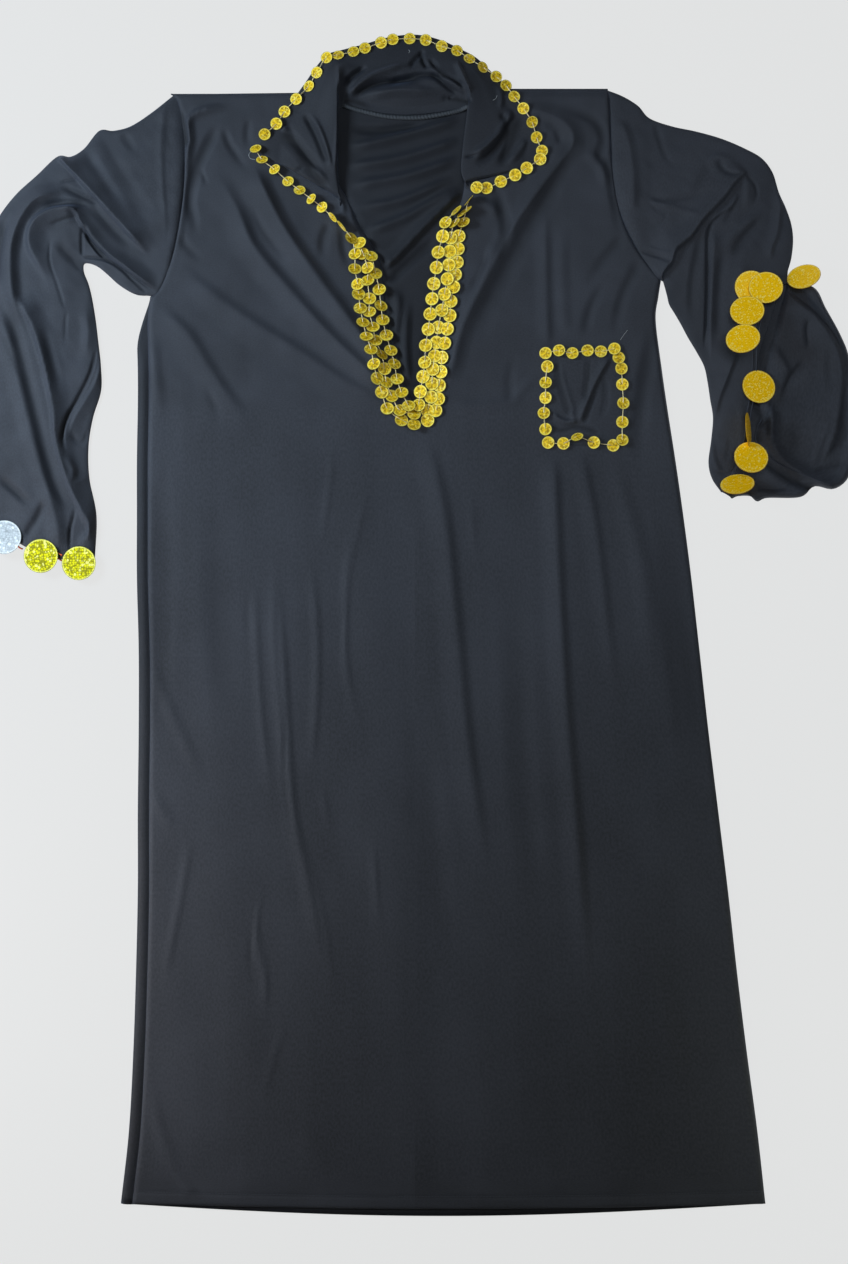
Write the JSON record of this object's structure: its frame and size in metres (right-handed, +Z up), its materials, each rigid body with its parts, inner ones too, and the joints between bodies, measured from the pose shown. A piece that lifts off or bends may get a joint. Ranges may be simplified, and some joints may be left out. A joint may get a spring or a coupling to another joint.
{
  "type": "belly dance dress",
  "caption": "Long dark jersey dance tunic dress laid flat, with a wide shirt collar, deep neck slit, crumpled long sleeves and gold coin trim on collar, neck, pocket and cuffs.",
  "frame": {"origin": "on the flat underside of the back panel, straight below the dress's centre line in the middle of the skirt", "axes": "+Z up out of the laid cloth, +Y from hem to neck, +X to the right as seen from above"},
  "size_m": [1.0142, 1.3311, 0.0523],
  "materials": {
    "jersey": "smooth dark navy-black knit jersey with a soft sheen",
    "gold_coin": "thin stamped gold coins sewn on a gold string",
    "gold_paillette": "large flat gold paillette with a fine broken glitter surface",
    "silver_paillette": "large flat silver paillette with a fine broken glitter surface"
  },
  "bodies": {
    "root": {"back_panel": "jersey", "front_panel": "jersey", "sleeve_left": "jersey", "sleeve_right": "jersey", "collar": "jersey", "back_neck_roll": "jersey", "chest_pocket": "jersey", "collar_trim_left": "gold_coin", "collar_trim_back": "gold_coin", "collar_trim_right": "gold_coin", "neck_trim_left_inner": "gold_coin", "neck_trim_right_inner": "gold_coin", "neck_trim_left_middle": "gold_coin", "neck_trim_right_middle": "gold_coin", "neck_trim_left_outer": "gold_coin", "neck_trim_right_outer": "gold_coin", "pocket_trim_top": "gold_coin", "pocket_trim_right": "gold_coin", "pocket_trim_bottom": "gold_coin", "pocket_trim_left": "gold_coin", "cuff_paillette_left_1": "gold_paillette", "cuff_paillette_left_2": "gold_paillette", "cuff_paillette_left_3": "silver_paillette", "cuff_paillette_left_4": "gold_paillette", "cuff_paillette_right_1": "gold_paillette", "cuff_paillette_right_2": "gold_paillette", "cuff_paillette_right_3": "gold_paillette", "cuff_paillette_right_4": "gold_paillette", "cuff_paillette_right_5": "gold_paillette", "cuff_paillette_right_6": "gold_paillette", "cuff_paillette_right_7": "gold_paillette", "cuff_paillette_right_8": "gold_paillette", "cuff_paillette_right_9": "gold_paillette"}
  },
  "joints": []
}
